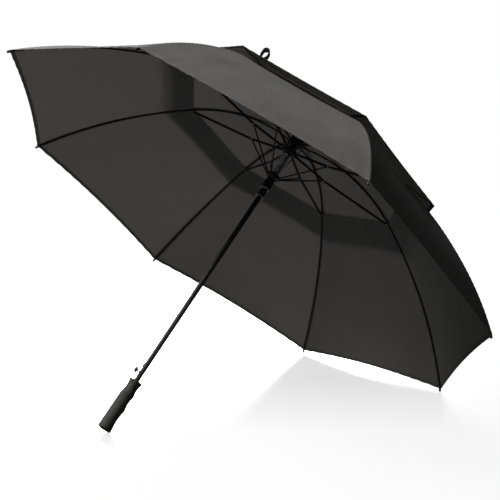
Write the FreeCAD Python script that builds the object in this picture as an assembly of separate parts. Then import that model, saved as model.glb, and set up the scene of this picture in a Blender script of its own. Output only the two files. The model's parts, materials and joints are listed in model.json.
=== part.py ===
"""Golf umbrella, open, lying on two rib tips and the end of its handle.

Eight curved ribs hang from a notch at the crown. A stretcher runs from each rib's elbow to the main runner,
and a link runs from the middle of each stretcher to the pull runner; an opening spring between the two
runners spreads them. The canopy is in two layers with a ring of vents between them.

Everything is modelled in the umbrella's own axis: Z runs up the shaft to the crown, and z = 0 is the plane
of the rib tips. One placement at the end lays the finished parts on the floor. Millimetres.
"""
import FreeCAD, Part
import math
import os

V = FreeCAD.Vector
FULL_TURN = math.degrees(math.tau)
X_AXIS = V(1, 0, 0)
Y_AXIS = V(0, 1, 0)
Z_AXIS = V(0, 0, 1)

# ---- the frame's pivots, in the plane of a rib: r from the shaft's axis, z from the rib tips ----
ribs = 8
rim_r = 650.0
notch_r = 13.0
notch_z = 267.0
elbow_r = 303.5
elbow_z = 253.5
knee_r = 110.0
knee_z = 237.5
link_r = 14.0
link_z = 162.5

# ---- ribs, stretchers and links ----
rib_bend = 975.0
rib_width = 3.4
rib_depth = 3.2
rib_wall = 0.55
rib_eye = 2.4
ear_thick = 1.4
saddle_length = 15.0
saddle_taper = 1.5
saddle_wall = 0.6
stretcher_width = 3.4
stretcher_wall = 0.5
stretcher_eye = 2.4
stretcher_web = 0.6
fork_length = 9.0
link_thick = 1.6
link_depth = 3.4
link_mouth_lean = 5.7
wire_r = 0.6
wire_sides = 8
rivet_r = 0.9
rivet_head_r = 1.9
rivet_head = 0.5
tip_r = 2.9
tip_length = 15.0
tip_bore = 2.4

# ---- shaft, notch and crown ----
shaft_r = 6.0
shaft_wall = 0.7
notch_body_r = 17.0
notch_low = 258.0
notch_top = 291.0
notch_edge = 3.0
notch_neck_r = 12.0
notch_neck = 6.0
notch_shoulder = 7.0
notch_slot_floor = 9.2
notch_slot_over = 6.5
crown_cap_r = 15.0
crown_cap_rim = 1.5
crown_cap_height = 7.0
ferrule_length = 58.0
ferrule_root_r = 8.5
ferrule_root = 3.0
ferrule_neck_r = 7.0
ferrule_neck = 2.0
ferrule_end_r = 6.0
ferrule_tip_r = 5.0
ferrule_tip = 12.0
ferrule_edge = 1.0
ferrule_socket = 12.0
stop_ring_height = 4.0
stop_ring_r = 8.2

# ---- runners and opening spring ----
collar_r = 16.5
collar_height = 16.0
collar_edge = 2.0
collar_slot_floor = 9.2
collar_slot_under = 3.2
runner_neck_r = 7.9
runner_neck = 6.0
spring_wire = 2.0
spring_r = 8.6
spring_turns = 14
pull_collar_height = 13.0
pull_collar_flare = 4.0
pull_collar_edge = 1.5
pull_body_r = 11.5
pull_body_length = 28.0
pull_body_neck_r = 10.3
pull_body_neck = 5.0
pull_body_slope = 3.0
pull_body_edge = 1.0
pull_sleeve_r = 8.8
pull_sleeve_length = 26.0
pull_ring_r = 10.4
pull_ring_low_r = 9.8
pull_ring_height = 3.0

# ---- handle, trigger and latch ----
grip_top = -419.0
grip_length = 125.0
grip_r = 16.2
grip_waist_r = 13.4
grip_waist = 18.0
grip_neck = 34.0
grip_mouth = 2.0
grip_mouth_edge = 1.0
grip_edge = 3.0
grip_dome = 1.5
groove_depth = 3.8
groove_split = 69.0
groove_land = 1.5
groove_end_band = 6.0
core_r = 10.0
core_length = 96.0
shaft_in_grip = 90.0
trigger_turn = 240.0
trigger_z = -397.0
trigger_cap_r = 5.6
trigger_cap_height = 7.0
trigger_cap_edge = 0.8
trigger_cap_side = 2.1
trigger_stem_r = 2.0
trigger_stem_reach = 1.2
trigger_stand = 5.0
trigger_travel = 3.5
latch_z = -384.0
latch_length = 13.0
latch_width = 3.0
latch_height = 2.4
latch_depth = 3.2
latch_face = 3.0
latch_land = 1.5
leaf_thick = 0.6
leaf_width = 4.0
leaf_over = 4.0
leaf_drop = 22.0
leaf_bend = 10.0
leaf_foot = 8.0
leaf_stand = 1.5

# ---- canopy, with the strap over the gore that follows rib 7 ----
fabric = 0.5
crown_hole_r = 8.0
crown_z = 293.0
vent_leave_slope = 14.0
vent_hem_r = 392.0
hem_margin = 3.5
hem_bow = 20.0
vent_bow = 8.0
gore_sag = 9.0
lower_shares = [0.0, 0.45, 1.0]
lower_steps = 9
upper_shares = [0.0, 1.0]
upper_steps = 11
strap_width = 18.0
strap_loop_r = 9.0
strap_height = 38.0
strap_thickness = 1.2
strap_back = 28.0
strap_turn = 315.0
strap_share = 0.2

# ---- clearances ----
running = 0.08
pivot_play = 0.1
slot_play = 0.25
soft_gap = 0.3
seat_gap = 0.3

half_gore = math.pi / ribs
rib_angles = [math.degrees(half_gore) * (2 * k + 1) for k in range(ribs)]
elbow_drop = rib_depth + slot_play + stretcher_eye
main_z = 2 * elbow_z - notch_z
knee_fork = stretcher_width - 2 * stretcher_wall


def at(r, z, y=0.0):
    """A point in a rib's plane."""
    return V(r, y, z)


def plate(wire, width):
    """A flat side view in a rib's plane, made width thick about that plane."""
    face = Part.Face(wire)
    face.translate(V(0, -width / 2, 0))
    return face.extrude(V(0, width, 0))


def side_plate(corners, width):
    """A plate with straight sides between these corners."""
    return plate(Part.makePolygon(corners + corners[:1]), width)


def bar(start, end, radius, width):
    """A bar with round ends, seen from the side as a slot from start to end."""
    along = (end - start).normalize()
    across = V(-along.z, 0, along.x)
    side, tip = across * radius, along * radius
    edges = [
        Part.Arc(end + side, end + tip, end - side).toShape(),
        Part.makeLine(end - side, start - side),
        Part.Arc(start - side, start - tip, start + side).toShape(),
        Part.makeLine(start + side, end + side),
    ]
    return plate(Part.Wire(edges), width)


def cross_pin(centre, radius, width):
    """A round pin or hole across a rib's plane."""
    return Part.makeCylinder(radius, width, centre - V(0, width / 2, 0), Y_AXIS)


def dome_edge(radius, base, crown):
    """Half the outline of a round cap, from its rim (radius, base) to its crown on the shaft's axis."""
    rise = abs(crown - base)
    ball = (radius * radius + rise * rise) / (2 * rise)
    half_turn = math.asin(radius / ball) / 2
    back = ball * (1 - math.cos(half_turn)) * math.copysign(1, base - crown)
    return Part.Arc(at(radius, base), at(ball * math.sin(half_turn), crown + back), at(0, crown)).toShape()


def tube(outer, inner, low, high):
    """A plain ring or tube about the shaft's axis."""
    ring = Part.makeCylinder(outer, high - low, V(0, 0, low))
    return ring.cut(Part.makeCylinder(inner, high - low, V(0, 0, low)))


def revolved(outline):
    """A solid turned about the shaft's axis from a closed half outline."""
    solid = Part.Face(outline).revolve(V(0, 0, 0), Z_AXIS, FULL_TURN)
    if solid.Volume < 0:
        solid.reverse()
    return solid


def turned(points):
    """A solid turned about the shaft's axis from its half outline, given as (r, z) corners."""
    return revolved(Part.makePolygon([at(r, z) for r, z in points + points[:1]]))


def spun(shape, degrees):
    """A copy turned about the shaft's axis."""
    copy = shape.copy()
    copy.rotate(V(0, 0, 0), Z_AXIS, degrees)
    return copy


def slotted(body, slot):
    """A collar with one slot for each rib."""
    return body.cut([spun(slot, angle) for angle in rib_angles])


# ---- the rib's curve: two arcs that meet in line above the elbow ----
def meeting(first, first_r, second, second_r):
    """Where two circles in a rib's plane meet, on the side nearer the handle."""
    apart = second - first
    along = (apart.Length ** 2 + first_r ** 2 - second_r ** 2) / (2 * apart.Length)
    aside = math.sqrt(first_r ** 2 - along ** 2)
    unit = apart * (1 / apart.Length)
    return first + unit * along + at(unit.z, -unit.x) * aside


def slope_from(centre, point):
    """How steeply a circle about this centre falls at this point."""
    return math.atan2(point.x - centre.x, point.z - centre.z)


class RibCurve:
    """The crown-side face of a rib, as an inner arc from the notch and an outer arc to the tip.

    It stands elbow_drop off the elbow pivot, square to its own slope there, where the two arcs meet.
    """

    def __init__(self):
        pivot = at(elbow_r, elbow_z)
        self.start = at(notch_r, notch_z + rib_depth / 2)
        self.tip = at(rim_r, rib_depth / 2)
        self.outer_centre = meeting(pivot, rib_bend - elbow_drop, self.tip, rib_bend)
        self.elbow_slope = slope_from(self.outer_centre, pivot)
        self.tip_slope = slope_from(self.outer_centre, self.tip)
        self.elbow = self.outer(self.elbow_slope)
        reach = self.elbow - self.start
        self.inner_bend = reach.Length ** 2 / (2 * reach.dot(self.normal(self.elbow_slope)))
        self.inner_centre = self.elbow - self.normal(self.elbow_slope) * self.inner_bend
        self.start_slope = slope_from(self.inner_centre, self.start)

    def normal(self, slope):
        """The direction out of the crown side where the rib falls at this slope."""
        return at(math.sin(slope), math.cos(slope))

    def tangent(self, slope):
        return at(math.cos(slope), -math.sin(slope))

    def outer(self, slope, lift=0.0):
        return self.outer_centre + self.normal(slope) * (rib_bend + lift)

    def inner(self, slope, lift=0.0):
        return self.inner_centre + self.normal(slope) * (self.inner_bend + lift)


curve = RibCurve()


# ---- ribs ----
def channel_section(point, slope):
    """A rib's U section, open towards the handle, square to the rib at this point."""
    normal = curve.normal(slope)
    half = rib_width / 2
    inside = half - rib_wall
    corners = [
        (half, 0), (half, -rib_depth), (inside, -rib_depth), (inside, -rib_wall),
        (-inside, -rib_wall), (-inside, -rib_depth), (-half, -rib_depth), (-half, 0), (half, 0),
    ]
    return Part.Face(Part.makePolygon([point + V(0, y, 0) + normal * d for y, d in corners]))


def rib():
    """A fluted rib: eye at the notch, two bends, an ear under the elbow in a short saddle."""
    to_elbow = math.degrees(curve.elbow_slope - curve.start_slope)
    to_tip = math.degrees(curve.tip_slope - curve.elbow_slope)
    inner = channel_section(curve.start, curve.start_slope).revolve(curve.inner_centre, Y_AXIS, to_elbow)
    outer = channel_section(curve.elbow, curve.elbow_slope).revolve(curve.outer_centre, Y_AXIS, to_tip)
    notch = at(notch_r, notch_z)
    eye = cross_pin(notch, rib_eye, rib_width)
    elbow = at(elbow_r, elbow_z)
    ear_root = elbow + curve.normal(curve.elbow_slope) * (elbow_drop - rib_eye - rib_wall)
    ear = bar(elbow, ear_root, rib_eye, ear_thick)
    body = inner.fuse([outer, eye, ear, saddle()]).removeSplitter()
    wire_hole = cross_pin(notch, wire_r + pivot_play, 2 * rib_width)
    rivet_hole = cross_pin(elbow, rivet_r + running, 2 * rib_width)
    return body.cut([wire_hole, rivet_hole])


def saddle():
    """The elbow bracket: a short shoe round the flanks of the rib, which carries the ear."""
    width = rib_width + 2 * saddle_wall
    half = saddle_length / 2
    down, along = -curve.normal(curve.elbow_slope), curve.tangent(curve.elbow_slope)
    top = curve.elbow + down * rib_wall / 2
    bottom = curve.elbow + down * (rib_depth - rib_wall / 2)
    short = half - saddle_taper
    corners = [top - along * half, top + along * half, bottom + along * short, bottom - along * short]
    return side_plate(corners, width)


def tip_axis():
    """Where a rib's tip cap ends and the way it points."""
    slope = curve.tip_slope
    return curve.tip - curve.normal(slope) * rib_depth / 2, curve.tangent(slope)


def rib_tip():
    """A capped sleeve on the rib's end, with a round nose."""
    end, along = tip_axis()
    root = end - along * tip_length
    sleeve = Part.makeCylinder(tip_r, tip_length, root, along)
    nose = Part.makeSphere(tip_r, end, along, 0, FULL_TURN / 4, FULL_TURN)
    bore = Part.makeCylinder(tip_bore, tip_length - tip_r, root, along)
    return sleeve.fuse(nose).removeSplitter().cut(bore)


def rib_cut_to_tip(shape):
    """The rib stops inside its tip cap, short of the bore's floor."""
    end, along = tip_axis()
    stop = end - along * (tip_r + seat_gap)
    block = Part.makeCylinder(2 * rib_depth, tip_length, stop, along)
    return shape.cut(block)


# ---- stretchers ----
def stretcher():
    """A channel bent at its knee, forked round the rib's ear, with rivets at elbow and knee."""
    runner, knee, elbow = at(notch_r, main_z), at(knee_r, knee_z), at(elbow_r, elbow_z)
    body = bar(runner, knee, stretcher_eye, stretcher_width)
    body = body.fuse(bar(knee, elbow, stretcher_eye, stretcher_width)).removeSplitter()
    inset = (knee - runner).normalize() * (2 * stretcher_eye)
    groove_start = runner + inset
    drop = at(0, -stretcher_web)
    floor = stretcher_eye
    hollows = [
        bar(groove_start + drop, knee + drop, floor, knee_fork),
        bar(knee + drop, elbow + drop, floor, knee_fork),
        bar(elbow - (elbow - knee).normalize() * fork_length, elbow, 2 * stretcher_eye, knee_fork),
    ]
    body = body.cut(hollows)
    wire_hole = cross_pin(runner, wire_r + pivot_play, 2 * stretcher_width)
    rivets = []
    for pivot in (knee, elbow):
        rivets.append(cross_pin(pivot, rivet_r, stretcher_width))
        rivets.append(rivet_heads(pivot))
    return body.cut(wire_hole).fuse(rivets)


def rivet_heads(pivot):
    """The two heads of a rivet, outside the stretcher's cheeks."""
    over = cross_pin(pivot, rivet_head_r, stretcher_width + 2 * rivet_head)
    return over.cut(cross_pin(pivot, 2 * rivet_head_r, stretcher_width))


# ---- links ----
def link():
    """A flat bar from the stretcher's knee to the pull runner's wire, where its end is an open hook."""
    knee, runner = at(knee_r, knee_z), at(link_r, link_z)
    body = bar(knee, runner, link_depth / 2, link_thick)
    rivet_hole = cross_pin(knee, rivet_r + running, 2 * link_thick)
    lean = math.radians(link_mouth_lean)
    out = runner - at(math.cos(lean), math.sin(lean)) * link_depth
    mouth = bar(runner, out, wire_r + soft_gap, 2 * link_thick)
    return body.cut([rivet_hole, mouth])


# ---- notch, crown and ferrule ----
def pivot_slot(collar, floor, arm, low, high):
    """A radial slot through a collar's rim, from its floor outwards, with play beside the arm in it."""
    width = arm + 2 * slot_play
    slot = Part.makeBox(2 * collar, width, high - low)
    slot.translate(V(floor, -width / 2, low))
    return slot


def top_notch():
    """The crown notch: a flanged hub with a slot for each rib's eye and a groove for their wire."""
    neck_low = notch_top - notch_neck
    body = turned([
        (shaft_r + running, notch_low), (notch_body_r - notch_edge, notch_low),
        (notch_body_r, notch_low + notch_edge), (notch_body_r, neck_low - notch_shoulder),
        (notch_neck_r, neck_low), (notch_neck_r, notch_top), (shaft_r + running, notch_top),
    ])
    slot_top = notch_z + notch_slot_over
    slot = pivot_slot(notch_body_r, notch_slot_floor, rib_width, notch_low - notch_edge, slot_top)
    return slotted(body.cut(wire_groove(notch_r, notch_z)), slot)


def wire_groove(radius, height):
    """The channel that a pivot wire lies in."""
    half = wire_r + pivot_play
    return tube(radius + half, radius - half, height - half, height + half)


def pivot_wire(radius, height):
    """A closed ring of wire through the eyes in a notch or collar, flat-sided in section."""
    section = Part.makePolygon([
        at(radius + wire_r * math.cos(turn), height + wire_r * math.sin(turn))
        for turn in [math.pi / wire_sides * (2 * step + 1) for step in range(wire_sides + 1)]
    ])
    return Part.Face(section).revolve(V(0, 0, 0), Z_AXIS, FULL_TURN)


def crown_cap():
    """The cap that clamps the canopy's crown, under the ferrule."""
    low = crown_z + fabric + soft_gap
    high = low + crown_cap_height
    return turned([
        (shaft_r + running, low), (crown_cap_r, low), (crown_cap_r, low + crown_cap_rim),
        (ferrule_root_r + ferrule_edge, high), (shaft_r + running, high),
    ])


def ferrule():
    """The spike at the crown, socketed over the top of the shaft."""
    low = crown_z + fabric + soft_gap + crown_cap_height
    high = low + ferrule_length
    socket_top = low + ferrule_socket + seat_gap
    return turned([
        (shaft_r + running, low), (ferrule_root_r, low), (ferrule_root_r, low + ferrule_root),
        (ferrule_neck_r, low + ferrule_root + ferrule_neck), (ferrule_end_r, high - ferrule_tip),
        (ferrule_tip_r, high - ferrule_tip), (ferrule_tip_r, high - ferrule_edge),
        (ferrule_tip_r - ferrule_edge, high), (0, high), (0, socket_top), (shaft_r + running, socket_top),
    ])


def shaft_top():
    return crown_z + fabric + soft_gap + crown_cap_height + ferrule_socket


def stop_ring():
    """The ring on the shaft under the notch that the main runner stops against."""
    high = main_z + collar_height / 2 + seat_gap + stop_ring_height
    return tube(stop_ring_r, shaft_r + running, high - stop_ring_height, high)


# ---- shaft, latch and trigger ----
def shaft():
    """A steel tube with a slot for the latch and a hole for the trigger's stem."""
    low = grip_top - shaft_in_grip
    body = tube(shaft_r, shaft_r - shaft_wall, low, shaft_top())
    slot = Part.makeBox(2 * shaft_r, latch_width + 2 * slot_play, latch_length + 2 * slot_play)
    slot.translate(V(0, -latch_width / 2 - slot_play, latch_z - slot_play))
    hole = Part.makeCylinder(trigger_stem_r + pivot_play, 2 * shaft_r, V(0, 0, trigger_z), X_AXIS)
    return body.cut([spun(slot, trigger_turn), spun(hole, trigger_turn)])


def latch():
    """A wedge that stands out of the shaft, steep on the side that holds the closed runner."""
    outside = shaft_r + latch_height
    inside = shaft_r - latch_depth
    low, high = latch_z, latch_z + latch_length
    crest = low + latch_face
    corners = [
        at(inside, low), at(shaft_r, low), at(outside, crest), at(outside, crest + latch_land),
        at(shaft_r, high), at(inside, high),
    ]
    return spun(side_plate(corners, latch_width), trigger_turn)


def latch_leaf():
    """The leaf spring inside the shaft, which pushes the latch out and rests on the far wall."""
    near = shaft_r - latch_depth - trigger_travel - leaf_thick
    far = -(shaft_r - shaft_wall - leaf_stand)
    low = latch_z - leaf_drop
    high = latch_z + latch_length + leaf_over
    bend = low + leaf_bend
    corners = [
        at(near, high), at(near + leaf_thick, high), at(near + leaf_thick, bend), at(far + leaf_thick, low),
        at(far, low), at(near, bend),
    ]
    leaf = side_plate(corners, leaf_width)
    foot = Part.makeBox(leaf_thick, leaf_width, leaf_foot)
    foot.translate(V(far, -leaf_width / 2, low - leaf_foot))
    return spun(leaf.fuse(foot).removeSplitter(), trigger_turn)


def trigger_button():
    """A mushroom button on a stem that enters the shaft above the grip."""
    stem_start = shaft_r - shaft_wall - trigger_stem_reach
    cap_start = shaft_r + trigger_stand
    crown = cap_start + trigger_cap_height
    shoulder = cap_start + trigger_cap_side
    under_r = trigger_cap_r - trigger_cap_edge
    button = revolved(Part.Wire([
        Part.makeLine(at(0, stem_start), at(trigger_stem_r, stem_start)),
        Part.makeLine(at(trigger_stem_r, stem_start), at(trigger_stem_r, cap_start)),
        Part.makeLine(at(trigger_stem_r, cap_start), at(under_r, cap_start)),
        Part.makeLine(at(under_r, cap_start), at(trigger_cap_r, shoulder)),
        dome_edge(trigger_cap_r, shoulder, crown),
        Part.makeLine(at(0, crown), at(0, stem_start)),
    ]))
    button.rotate(V(0, 0, 0), Y_AXIS, FULL_TURN / 4)
    button.translate(V(0, 0, trigger_z))
    return spun(button, trigger_turn)


# ---- handle ----
def grip_outline():
    """Half the grip's outline: flared neck, straight barrel, rounded edge and a slight dome."""
    low = grip_top - grip_length
    neck = grip_top - grip_neck
    mouth = grip_top - grip_mouth
    waist = Part.Arc(at(grip_r, mouth), at(grip_waist_r, grip_top - grip_waist), at(grip_r, neck)).toShape()
    edge_middle = at(grip_r, low) + (at(-grip_edge, grip_edge) * (1 - math.sqrt(0.5)))
    edge = Part.Arc(at(grip_r, low + grip_edge), edge_middle, at(grip_r - grip_edge, low)).toShape()
    return Part.Wire([
        Part.makeLine(at(0, grip_top), at(grip_r - grip_mouth_edge, grip_top)),
        Part.makeLine(at(grip_r - grip_mouth_edge, grip_top), at(grip_r, mouth)),
        waist,
        Part.makeLine(at(grip_r, neck), at(grip_r, low + grip_edge)),
        edge,
        dome_edge(grip_r - grip_edge, low, low - grip_dome),
        Part.makeLine(at(0, low - grip_dome), at(0, grip_top)),
    ])


def finger_groove(high, low):
    """The cutter for one finger groove: a drum across the grip that bites groove_depth deep."""
    half = (high - low) / 2
    drum = (half * half + groove_depth * groove_depth) / (2 * groove_depth)
    centre = V(grip_r - groove_depth + drum, 0, (high + low) / 2)
    return Part.makeCylinder(drum, 4 * grip_r, centre - V(0, 2 * grip_r, 0), Y_AXIS)


def handle_grip():
    """The foam grip, with finger grooves on the side away from the trigger."""
    body = revolved(grip_outline())
    first = finger_groove(grip_top - grip_neck - groove_land, grip_top - groove_split)
    second = finger_groove(grip_top - groove_split - groove_land, grip_top - grip_length + groove_end_band)
    grooves = [spun(groove, trigger_turn + FULL_TURN / 2) for groove in (first, second)]
    bore_length = core_length + seat_gap
    bore = Part.makeCylinder(core_r + running, bore_length, V(0, 0, grip_top - bore_length))
    return body.cut(grooves + [bore])


def handle_core():
    """The hard sleeve between shaft and grip, closed below the shaft's end."""
    low = grip_top - core_length
    floor = grip_top - shaft_in_grip - seat_gap
    return turned([
        (shaft_r + running, grip_top), (core_r, grip_top), (core_r, low), (0, low), (0, floor),
        (shaft_r + running, floor),
    ])


# ---- runners ----
def main_runner():
    """The collar that the stretchers hinge on, with a skirt that carries the spring's upper end."""
    low, high = main_z - collar_height / 2, main_z + collar_height / 2
    end = low - runner_neck
    body = turned([
        (shaft_r + running, end), (runner_neck_r, end), (runner_neck_r, low), (collar_r - collar_edge, low),
        (collar_r, low + collar_edge), (collar_r, high - collar_edge), (collar_r - collar_edge, high),
        (shaft_r + running, high),
    ])
    slot_low = main_z - collar_slot_under
    slot = pivot_slot(collar_r, collar_slot_floor, stretcher_width, slot_low, high + collar_edge)
    return slotted(body.cut(wire_groove(notch_r, main_z)), slot)


def opening_spring():
    """The opening spring, between the two runners' collars."""
    high = main_z - collar_height / 2 - seat_gap
    low = link_z + pull_collar_height / 2 + seat_gap
    half = spring_wire / 2
    centre_low, centre_high = low + half, high - half
    pitch = (centre_high - centre_low) / spring_turns
    start = spring_r + half
    path = Part.Wire(Part.makeHelix(pitch, centre_high - centre_low, start))
    section = Part.makePolygon([
        at(start + half, 0), at(start, half), at(start - half, 0), at(start, -half), at(start + half, 0),
    ])
    coil = path.makePipeShell([section], True, True)
    coil.translate(V(0, 0, centre_low))
    return coil


def pull_collar():
    """The flared ring at the top of the pull runner that the links hook into."""
    low, high = link_z - pull_collar_height / 2, link_z + pull_collar_height / 2
    body = turned([
        (shaft_r + running, low), (collar_r - pull_collar_flare, low), (collar_r, low + pull_collar_flare),
        (collar_r, high - pull_collar_edge), (collar_r - pull_collar_edge, high), (shaft_r + running, high),
    ])
    slot_low = link_z - collar_slot_under
    slot = pivot_slot(collar_r, collar_slot_floor, link_thick, slot_low, high + collar_edge)
    return slotted(body.cut(wire_groove(link_r, link_z)), slot)


def pull_body():
    """The thick grip of the pull runner, under its collar."""
    high = link_z - pull_collar_height / 2
    low = high - pull_body_length
    neck_low = high - pull_body_neck
    return turned([
        (shaft_r + running, low), (pull_body_r - pull_body_edge, low), (pull_body_r, low + pull_body_edge),
        (pull_body_r, neck_low - pull_body_slope), (pull_body_neck_r, neck_low), (pull_body_neck_r, high),
        (shaft_r + running, high),
    ])


def pull_sleeve():
    """The narrow sleeve whose lower rim the latch holds when the umbrella is closed."""
    high = link_z - pull_collar_height / 2 - pull_body_length
    return tube(pull_sleeve_r, shaft_r + running, high - pull_sleeve_length, high)


def pull_rings():
    """The two bright rings pressed on the sleeve, one at each end."""
    high = link_z - pull_collar_height / 2 - pull_body_length
    low = high - pull_sleeve_length
    top = high - pivot_play
    upper = tube(pull_ring_r, pull_sleeve_r + running, top - pull_ring_height, top)
    lower = tube(pull_ring_low_r, pull_sleeve_r + running, low, low + pull_ring_height)
    return Part.makeCompound([upper, lower])


# ---- canopy ----
def lower_profile():
    """The lower canopy along a rib, from the vent hole to the tip cap's nose, rising to clear the cap."""
    lift = soft_gap
    hem_lift = tip_r - rib_depth / 2 + soft_gap
    hem_slope = curve.tip_slope - hem_margin / rib_bend
    start = curve.outer(curve.elbow_slope, lift)
    middle = curve.outer((curve.elbow_slope + hem_slope) / 2, (lift + hem_lift) / 2)
    return Part.Wire([Part.Arc(start, middle, curve.outer(hem_slope, hem_lift)).toShape()])


def upper_profile():
    """The upper canopy along a rib: off the crown, over the rib's bend, then straight to the vent hem."""
    lift = soft_gap + fabric + soft_gap
    crown = at(crown_hole_r, crown_z)
    radius = curve.inner_bend + lift
    reach = crown - curve.inner_centre
    lean = math.atan2(reach.x, reach.z)
    touch_slope = lean + math.acos(radius / reach.Length)
    leave_slope = math.radians(vent_leave_slope)
    touch, leave = curve.inner(touch_slope, lift), curve.inner(leave_slope, lift)
    middle = curve.inner((touch_slope + leave_slope) / 2, lift)
    run = (vent_hem_r - leave.x) / math.cos(leave_slope)
    return Part.Wire([
        Part.makeLine(crown, touch),
        Part.Arc(touch, middle, leave).toShape(),
        Part.makeLine(leave, leave + curve.tangent(leave_slope) * run),
    ])


def across_gore(profile, share, bow, sag, steps):
    """The profile carried sideways to a share of the way from rib to mid-gore.

    The fabric is stretched straight from rib to rib, sags a little between them, and its hem bows in.
    """
    turn = share * half_gore
    straight = math.cos(half_gore) / math.cos(half_gore - turn)
    rounded = 1 - (1 - share) ** 2
    total = profile.Length
    points = []
    for step, point in enumerate(profile.discretize(steps)):
        along = step / (steps - 1)
        back = bow * rounded * along / total
        source = point_along(profile, along * (1 - back))
        dip = sag * rounded * math.sin(math.pi * along)
        radius = source.x * straight
        shift = -soft_gap / 2 * share
        x = radius * math.cos(turn) - shift * math.sin(turn)
        y = radius * math.sin(turn) + shift * math.cos(turn)
        points.append(V(x, y, source.z - dip))
    path = Part.BSplineCurve()
    path.interpolate(points)
    return path.toShape()


def point_along(profile, share):
    """The point a share of the way along a profile of several edges."""
    left = share * profile.Length
    for edge in profile.OrderedEdges:
        if left <= edge.Length or edge.isSame(profile.OrderedEdges[-1]):
            return edge.valueAt(edge.getParameterByLength(min(left, edge.Length)))
        left -= edge.Length


def canopy_layer(profile, shares, bow, sag, steps):
    """One layer of canopy from mid-gore to mid-gore across a rib, as a thin closed solid."""
    lines = [across_gore(profile, share, bow, sag, steps) for share in shares]
    mirrored = []
    for line in lines[:0:-1]:
        mirrored.append(line.mirror(V(0, 0, 0), Y_AXIS))
    lines = mirrored + lines
    up = V(0, 0, fabric)
    strips = [Part.makeRuledSurface(one, two) for one, two in zip(lines, lines[1:])]
    tops = [strip.translated(up) for strip in strips]
    ends = []
    for one, two in zip(lines, lines[1:]):
        for index in (0, -1):
            hem = Part.makeLine(one.Vertexes[index].Point, two.Vertexes[index].Point)
            ends.append(hem.extrude(up))
    flanks = [lines[0].extrude(up), lines[-1].extrude(up)]
    shell = Part.makeShell(strips + tops + ends + flanks)
    shell.sewShape()
    solid = Part.makeSolid(shell)
    if solid.Volume < 0:
        solid.reverse()
    return solid


def canopy():
    """Both layers that one rib carries."""
    lower = canopy_layer(lower_profile(), lower_shares, hem_bow, gore_sag, lower_steps)
    upper = canopy_layer(upper_profile(), upper_shares, vent_bow, 0.0, upper_steps)
    return Part.makeCompound([lower, upper])


def closing_strap():
    """The closing strap, folded into a standing loop on the outside of the upper canopy near its hem.

    The gore under it is flat across, so the loop is drawn square to the gore's middle and moved aside.
    """
    flat = math.cos(half_gore)
    hem = upper_profile().Vertexes[-1].Point
    slope = math.atan(math.tan(math.radians(vent_leave_slope)) / flat)
    seat = at(hem.x * flat, hem.z) - curve.tangent(slope) * strap_back
    low = seat + curve.normal(slope) * (fabric + soft_gap + strap_loop_r)
    high = low + at(0, strap_height - 2 * strap_loop_r)
    outer = bar(low, high, strap_loop_r, strap_width)
    inner = bar(low, high, strap_loop_r - strap_thickness, 2 * strap_width)
    aside = strap_share * 2 * hem.x * math.sin(half_gore) - hem.x * math.sin(half_gore)
    return outer.cut(inner).translated(V(0, aside, 0))


# ---- lay the umbrella on the floor ----
def floor_placement():
    """Tilt and raise everything so that two rib tips and the grip's edge touch the floor.

    The umbrella is turned about X. The floor touches the round noses of the two lowest tips and the rounded
    edge of the grip, so the tilt is that of the common tangent to those two circles.
    """
    end, along = tip_axis()
    tip_y = end.x * math.cos(half_gore)
    tip_z = end.z
    edge_y = grip_r - grip_edge
    edge_z = grip_top - grip_length + grip_edge
    apart_y, apart_z = tip_y - edge_y, tip_z - edge_z
    apart = math.hypot(apart_y, apart_z)
    tilt = math.atan2(apart_z, apart_y) + math.asin((grip_edge - tip_r) / apart)
    height = tip_y * math.sin(tilt) - tip_z * math.cos(tilt) + tip_r
    return FreeCAD.Placement(V(0, 0, height), FreeCAD.Rotation(V(1, 0, 0), -math.degrees(tilt)))


def build():
    """Every part in the umbrella's own axis, by name."""
    parts = {
        "shaft": shaft(),
        "top_notch": top_notch(),
        "notch_wire": pivot_wire(notch_r, notch_z),
        "crown_cap": crown_cap(),
        "ferrule": ferrule(),
        "stop_ring": stop_ring(),
        "handle_grip": handle_grip(),
        "handle_core": handle_core(),
        "latch_leaf": latch_leaf(),
        "latch": latch(),
        "trigger_button": trigger_button(),
        "main_runner": main_runner(),
        "runner_wire": pivot_wire(notch_r, main_z),
        "opening_spring": opening_spring(),
        "closing_strap": spun(closing_strap(), strap_turn),
        "pull_collar": pull_collar(),
        "pull_body": pull_body(),
        "pull_sleeve": pull_sleeve(),
        "pull_rings": pull_rings(),
        "link_wire": pivot_wire(link_r, link_z),
    }
    one_rib = rib_cut_to_tip(rib())
    repeated = {
        "rib": one_rib,
        "rib_tip": rib_tip(),
        "stretcher": stretcher(),
        "link": link(),
        "canopy": canopy(),
    }
    for name, shape in repeated.items():
        for number, angle in enumerate(rib_angles, 1):
            parts[f"{name}_{number}"] = spun(shape, angle)
    return parts


def main():
    os.makedirs("parts", exist_ok=True)
    laid = floor_placement()
    for name, shape in build().items():
        shape.Placement = laid.multiply(shape.Placement)
        shape.exportStep(f"parts/{name}.step")


main()
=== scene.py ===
"""Looks for an open golf umbrella that lies on two rib tips and the end of its grip."""
import json
import math

import bpy
from mathutils import Matrix, Vector


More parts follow.
